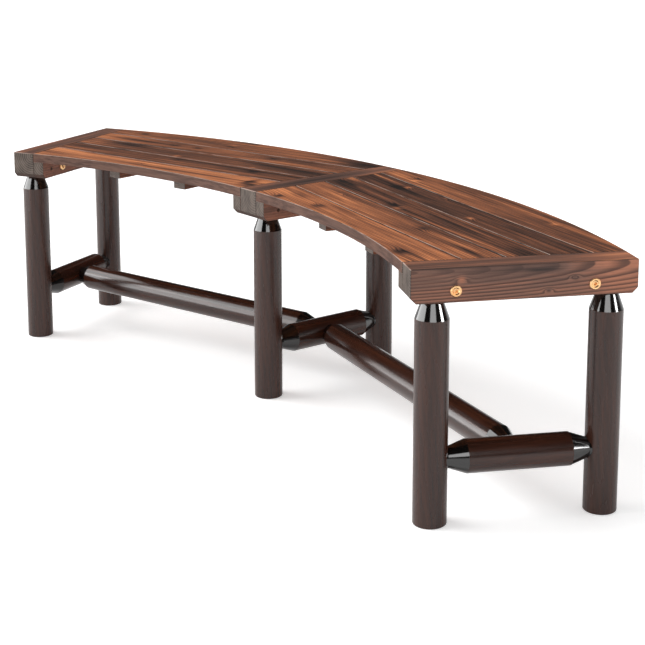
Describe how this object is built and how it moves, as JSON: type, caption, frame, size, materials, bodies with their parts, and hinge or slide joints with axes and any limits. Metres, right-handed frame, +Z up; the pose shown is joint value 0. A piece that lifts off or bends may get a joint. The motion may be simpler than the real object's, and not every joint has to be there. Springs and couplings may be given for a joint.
{
  "type": "curved garden bench",
  "caption": "Curved backless garden bench: straight seat planks between radial beams, on round log legs with pencil-point tops, tied by cross and long log stretchers.",
  "frame": {"origin": "middle of the bench's footprint, on the floor", "axes": "+X along the bench's length, +Y from the hollow front edge to the rounded back edge, +Z up"},
  "size_m": [1.7942, 0.5794, 0.46],
  "materials": {
    "plank_wood": "charred and brushed fir, satin oil",
    "beam_wood": "charred fir, sawn square, satin oil",
    "log_wood": "dark stained turned log, satin lacquer",
    "brass_hardware": "yellow plated",
    "screw_steel": "yellow zinc"
  },
  "bodies": {
    "root": {"left_beam": "beam_wood", "left_front_leg": "log_wood", "left_back_leg": "log_wood", "left_cross_stretcher": "log_wood", "middle_beam": "beam_wood", "middle_front_leg": "log_wood", "middle_back_leg": "log_wood", "middle_cross_stretcher": "log_wood", "right_beam": "beam_wood", "right_front_leg": "log_wood", "right_back_leg": "log_wood", "right_cross_stretcher": "log_wood", "left_ledger": "beam_wood", "middle_left_ledger": "beam_wood", "middle_right_ledger": "beam_wood", "right_ledger": "beam_wood", "left_seat_plank_1": "plank_wood", "left_seat_plank_2": "plank_wood", "left_seat_plank_3": "plank_wood", "left_seat_plank_4": "plank_wood", "left_seat_plank_5": "plank_wood", "left_outer_batten": "beam_wood", "left_inner_batten": "beam_wood", "left_long_stretcher": "log_wood", "right_seat_plank_1": "plank_wood", "right_seat_plank_2": "plank_wood", "right_seat_plank_3": "plank_wood", "right_seat_plank_4": "plank_wood", "right_seat_plank_5": "plank_wood", "right_outer_batten": "beam_wood", "right_inner_batten": "beam_wood", "right_long_stretcher": "log_wood", "end_bolts": "brass_hardware", "end_bolt_nuts": "brass_hardware", "middle_bolts": "brass_hardware", "middle_bolt_nuts": "brass_hardware", "tenon_screws": "screw_steel", "ledger_screws": "screw_steel", "batten_screws": "screw_steel"}
  },
  "joints": []
}
